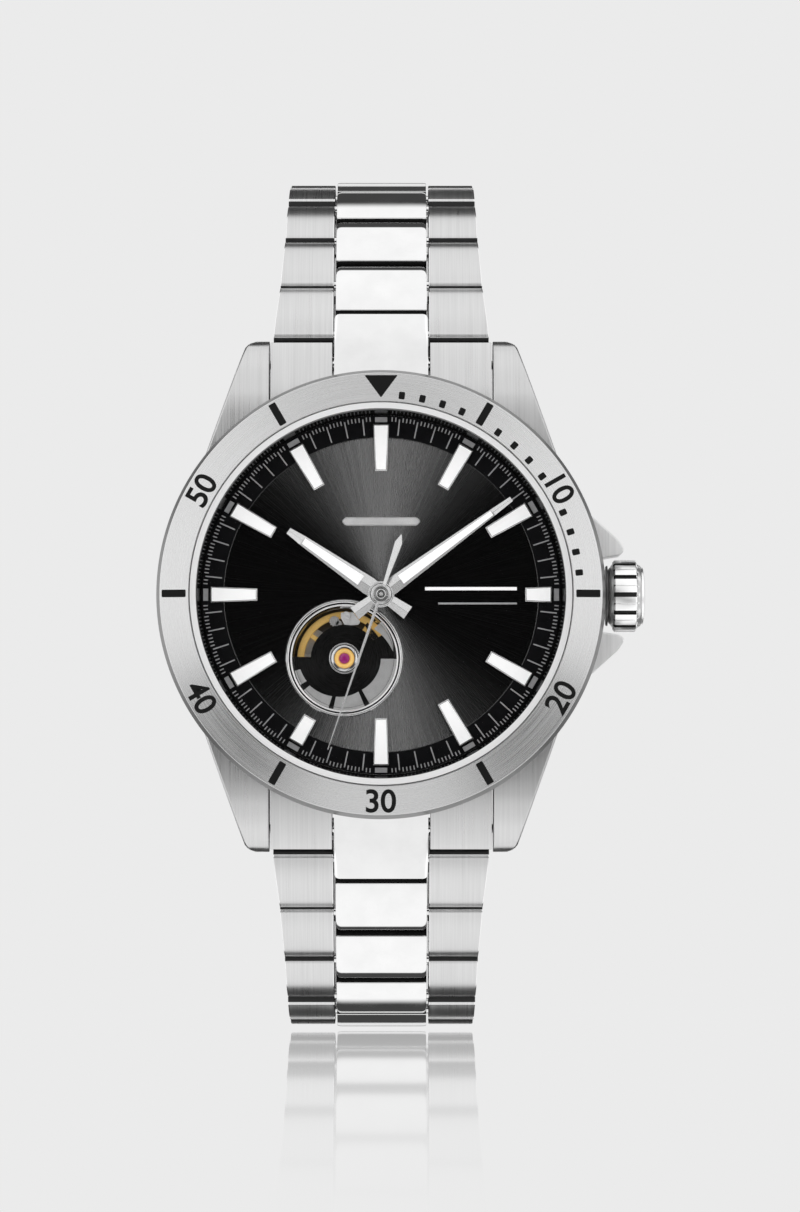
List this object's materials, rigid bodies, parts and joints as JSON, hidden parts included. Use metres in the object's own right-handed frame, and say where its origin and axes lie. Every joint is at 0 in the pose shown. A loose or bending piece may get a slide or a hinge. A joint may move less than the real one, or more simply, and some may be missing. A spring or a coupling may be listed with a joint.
{
  "type": "wristwatch",
  "caption": "Automatic diver-style wristwatch with a turning steel bezel, open-heart black dial, screw crown and a three-row steel link bracelet closed by a folding clasp.",
  "frame": {"origin": "centre of the case back's outer face, where the watch rests on the wrist", "axes": "+Z towards twelve o'clock, +X towards the crown, -Y out of the dial towards the viewer, +Y into the wrist"},
  "size_m": [0.0478, 0.0512, 0.0864],
  "materials": {
    "brushed_steel": "straight brushed, satin",
    "polished_steel": "mirror polished",
    "dial_black": "black with a fine sunray brushing",
    "movement_black": "black with fine circular graining",
    "lume_white": "white luminous paste in polished frames",
    "sapphire": "clear, polished",
    "gasket_rubber": "matt",
    "movement_brass": "gilt, satin",
    "jewel": "polished synthetic ruby"
  },
  "bodies": {
    "case": {"mid_case": "brushed_steel", "crystal": "sapphire", "crystal_gasket": "gasket_rubber", "case_back": "brushed_steel", "case_back_window": "sapphire", "case_back_gasket": "gasket_rubber", "bezel_click_spring": "brushed_steel", "dial": "dial_black", "chapter_ring": "lume_white", "aperture_ring": "polished_steel", "movement_ring": "movement_black", "main_plate": "movement_black", "jewel_setting": "jewel", "hairspring": "brushed_steel", "balance_cock": "polished_steel", "mainspring_barrel": "movement_brass", "train_bridge": "brushed_steel", "rotor_bearing": "polished_steel", "crown_tube": "brushed_steel", "end_link_upper": "brushed_steel", "end_link_lower": "brushed_steel", "spring_bar_upper": "polished_steel", "spring_bar_lower": "polished_steel"},
    "bezel": {"bezel": "brushed_steel"},
    "hour_hand": {"hour_hand": "polished_steel"},
    "minute_hand": {"minute_hand": "polished_steel"},
    "seconds_hand": {"seconds_hand": "polished_steel"},
    "balance": {"balance_wheel": "movement_brass", "balance_staff": "brushed_steel"},
    "escape_wheel": {"escape_wheel": "movement_brass"},
    "pallet_fork": {"pallet_fork": "polished_steel"},
    "rotor": {"rotor": "brushed_steel"},
    "winding_stem": {"winding_stem": "brushed_steel"},
    "crown": {"crown": "polished_steel"},
    "upper_link_1": {"upper_link_1": "brushed_steel"},
    "upper_link_2": {"upper_link_2": "brushed_steel"},
    "upper_link_3": {"upper_link_3": "brushed_steel"},
    "upper_link_4": {"upper_link_4": "brushed_steel"},
    "upper_link_5": {"upper_link_5": "brushed_steel"},
    "upper_link_6": {"upper_link_6": "brushed_steel"},
    "upper_link_7": {"upper_link_7": "brushed_steel"},
    "upper_link_8": {"upper_link_8": "brushed_steel"},
    "upper_link_9": {"upper_link_9": "brushed_steel"},
    "lower_link_1": {"lower_link_1": "brushed_steel"},
    "lower_link_2": {"lower_link_2": "brushed_steel"},
    "lower_link_3": {"lower_link_3": "brushed_steel"},
    "lower_link_4": {"lower_link_4": "brushed_steel"},
    "lower_link_5": {"lower_link_5": "brushed_steel"},
    "lower_link_6": {"lower_link_6": "brushed_steel"},
    "lower_link_7": {"lower_link_7": "brushed_steel"},
    "lower_link_8": {"lower_link_8": "brushed_steel"},
    "lower_link_9": {"lower_link_9": "brushed_steel", "clasp_foot_pin": "brushed_steel"},
    "clasp_cover": {"clasp_cover": "brushed_steel", "clasp_spring_bar": "brushed_steel"},
    "clasp_outer_blade": {"clasp_outer_blade": "polished_steel"},
    "clasp_inner_blade": {"clasp_inner_blade": "polished_steel"},
    "clasp_button_right": {"clasp_button_right": "polished_steel"},
    "clasp_button_left": {"clasp_button_left": "polished_steel"}
  },
  "joints": [
    {"name": "bezel_turn", "type": "hinge", "parent": "case", "child": "bezel", "pos_m": [0, -0.0095, 0], "axis": [0, -1, 0], "continuous": true},
    {"name": "minute_hand_turn", "type": "hinge", "parent": "case", "child": "minute_hand", "pos_m": [0, -0.0093, 0], "axis": [0, 1, 0], "continuous": true},
    {"name": "hour_hand_turn", "type": "hinge", "parent": "case", "child": "hour_hand", "pos_m": [0, -0.0088, 0], "axis": [0, 1, 0], "continuous": true},
    {"name": "seconds_hand_turn", "type": "hinge", "parent": "case", "child": "seconds_hand", "pos_m": [0, -0.0098, 0], "axis": [0, 1, 0], "continuous": true},
    {"name": "balance_swing", "type": "hinge", "parent": "case", "child": "balance", "pos_m": [-0.0036, -0.005, -0.00622], "axis": [0, 1, 0], "range_deg": [-270, 270], "stiffness_Nm_per_rad": 0.0000008},
    {"name": "escape_wheel_turn", "type": "hinge", "parent": "case", "child": "escape_wheel", "pos_m": [0.001, -0.0054, -0.00236], "axis": [0, 1, 0], "continuous": true},
    {"name": "pallet_fork_rock", "type": "hinge", "parent": "case", "child": "pallet_fork", "pos_m": [-0.00122, -0.0054, -0.00423], "axis": [0, 1, 0], "range_deg": [-3, 3]},
    {"name": "rotor_turn", "type": "hinge", "parent": "case", "child": "rotor", "pos_m": [0, -0.002, 0], "axis": [0, 1, 0], "continuous": true},
    {"name": "crown_pull", "type": "slide", "parent": "case", "child": "winding_stem", "axis": [1, 0, 0], "range_m": [0, 0.0015]},
    {"name": "crown_turn", "type": "hinge", "parent": "winding_stem", "child": "crown", "pos_m": [0.024, -0.0047, 0], "axis": [1, 0, 0], "continuous": true},
    {"name": "upper_pin_1", "type": "hinge", "parent": "case", "child": "upper_link_1", "pos_m": [0, -0.004, 0.0258], "axis": [1, 0, 0], "range_deg": [0, 14]},
    {"name": "upper_pin_2", "type": "hinge", "parent": "upper_link_1", "child": "upper_link_2", "pos_m": [0, -0.00072, 0.03106], "axis": [1, 0, 0], "range_deg": [0, 7]},
    {"name": "upper_pin_3", "type": "hinge", "parent": "upper_link_2", "child": "upper_link_3", "pos_m": [0, 0.00319, 0.03588], "axis": [1, 0, 0], "range_deg": [0, 14]},
    {"name": "upper_pin_4", "type": "hinge", "parent": "upper_link_3", "child": "upper_link_4", "pos_m": [0, 0.00814, 0.03961], "axis": [1, 0, 0], "range_deg": [0, 21]},
    {"name": "upper_pin_5", "type": "hinge", "parent": "upper_link_4", "child": "upper_link_5", "pos_m": [0, 0.0141, 0.04132], "axis": [1, 0, 0], "range_deg": [0, 26]},
    {"name": "upper_pin_6", "type": "hinge", "parent": "upper_link_5", "child": "upper_link_6", "pos_m": [0, 0.0202, 0.04024], "axis": [1, 0, 0], "range_deg": [0, 24]},
    {"name": "upper_pin_7", "type": "hinge", "parent": "upper_link_6", "child": "upper_link_7", "pos_m": [0, 0.02534, 0.03677], "axis": [1, 0, 0], "range_deg": [0, 18]},
    {"name": "upper_pin_8", "type": "hinge", "parent": "upper_link_7", "child": "upper_link_8", "pos_m": [0, 0.02916, 0.03189], "axis": [1, 0, 0], "range_deg": [0, 12]},
    {"name": "upper_pin_9", "type": "hinge", "parent": "upper_link_8", "child": "upper_link_9", "pos_m": [0, 0.03188, 0.02632], "axis": [1, 0, 0], "range_deg": [0, 8]},
    {"name": "lower_pin_1", "type": "hinge", "parent": "case", "child": "lower_link_1", "pos_m": [0, -0.004, -0.0258], "axis": [-1, 0, 0], "range_deg": [0, 14]},
    {"name": "lower_pin_2", "type": "hinge", "parent": "lower_link_1", "child": "lower_link_2", "pos_m": [0, -0.00072, -0.03106], "axis": [-1, 0, 0], "range_deg": [0, 7]},
    {"name": "lower_pin_3", "type": "hinge", "parent": "lower_link_2", "child": "lower_link_3", "pos_m": [0, 0.00319, -0.03588], "axis": [-1, 0, 0], "range_deg": [0, 14]},
    {"name": "lower_pin_4", "type": "hinge", "parent": "lower_link_3", "child": "lower_link_4", "pos_m": [0, 0.00814, -0.03961], "axis": [-1, 0, 0], "range_deg": [0, 21]},
    {"name": "lower_pin_5", "type": "hinge", "parent": "lower_link_4", "child": "lower_link_5", "pos_m": [0, 0.0141, -0.04132], "axis": [-1, 0, 0], "range_deg": [0, 26]},
    {"name": "lower_pin_6", "type": "hinge", "parent": "lower_link_5", "child": "lower_link_6", "pos_m": [0, 0.0202, -0.04024], "axis": [-1, 0, 0], "range_deg": [0, 24]},
    {"name": "lower_pin_7", "type": "hinge", "parent": "lower_link_6", "child": "lower_link_7", "pos_m": [0, 0.02534, -0.03677], "axis": [-1, 0, 0], "range_deg": [0, 18]},
    {"name": "lower_pin_8", "type": "hinge", "parent": "lower_link_7", "child": "lower_link_8", "pos_m": [0, 0.02916, -0.03189], "axis": [-1, 0, 0], "range_deg": [0, 12]},
    {"name": "lower_pin_9", "type": "hinge", "parent": "lower_link_8", "child": "lower_link_9", "pos_m": [0, 0.03188, -0.02632], "axis": [-1, 0, 0], "range_deg": [0, 8]},
    {"name": "clasp_pin", "type": "hinge", "parent": "upper_link_9", "child": "clasp_cover", "pos_m": [0, 0.03379, 0.02042], "axis": [1, 0, 0], "range_deg": [0, 18]},
    {"name": "outer_blade_fold", "type": "hinge", "parent": "clasp_cover", "child": "clasp_outer_blade", "pos_m": [0, 0.03525, -0.015], "axis": [1, 0, 0], "range_deg": [0, 80]},
    {"name": "inner_blade_fold", "type": "hinge", "parent": "clasp_outer_blade", "child": "clasp_inner_blade", "pos_m": [0, 0.03451, 0.0154], "axis": [-1, 0, 0], "range_deg": [0, 160]},
    {"name": "clasp_button_right_press", "type": "slide", "parent": "clasp_cover", "child": "clasp_button_right", "axis": [-1, 0, 0], "range_m": [0, 0.0007], "stiffness_N_per_m": 300},
    {"name": "clasp_button_left_press", "type": "slide", "parent": "clasp_cover", "child": "clasp_button_left", "axis": [1, 0, 0], "range_m": [0, 0.0007], "stiffness_N_per_m": 300}
  ],
  "couplings": [
    {"joint": "hour_hand_turn", "follows": "minute_hand_turn", "ratio": 0.083333},
    {"joint": "upper_pin_2", "follows": "upper_pin_1", "ratio": 0.5},
    {"joint": "upper_pin_3", "follows": "upper_pin_1", "ratio": 1},
    {"joint": "upper_pin_4", "follows": "upper_pin_1", "ratio": 1.5},
    {"joint": "upper_pin_5", "follows": "upper_pin_1", "ratio": 1.8571},
    {"joint": "upper_pin_6", "follows": "upper_pin_1", "ratio": 1.7143},
    {"joint": "upper_pin_7", "follows": "upper_pin_1", "ratio": 1.2857},
    {"joint": "upper_pin_8", "follows": "upper_pin_1", "ratio": 0.85714},
    {"joint": "upper_pin_9", "follows": "upper_pin_1", "ratio": 0.57143},
    {"joint": "lower_pin_1", "follows": "upper_pin_1", "ratio": 1},
    {"joint": "lower_pin_2", "follows": "upper_pin_1", "ratio": 0.5},
    {"joint": "lower_pin_3", "follows": "upper_pin_1", "ratio": 1},
    {"joint": "lower_pin_4", "follows": "upper_pin_1", "ratio": 1.5},
    {"joint": "lower_pin_5", "follows": "upper_pin_1", "ratio": 1.8571},
    {"joint": "lower_pin_6", "follows": "upper_pin_1", "ratio": 1.7143},
    {"joint": "lower_pin_7", "follows": "upper_pin_1", "ratio": 1.2857},
    {"joint": "lower_pin_8", "follows": "upper_pin_1", "ratio": 0.85714},
    {"joint": "lower_pin_9", "follows": "upper_pin_1", "ratio": 0.57143},
    {"joint": "clasp_pin", "follows": "upper_pin_1", "ratio": 1.2857},
    {"joint": "outer_blade_fold", "follows": "upper_pin_1", "ratio": 5.7143},
    {"joint": "inner_blade_fold", "follows": "upper_pin_1", "ratio": 11.429}
  ]
}
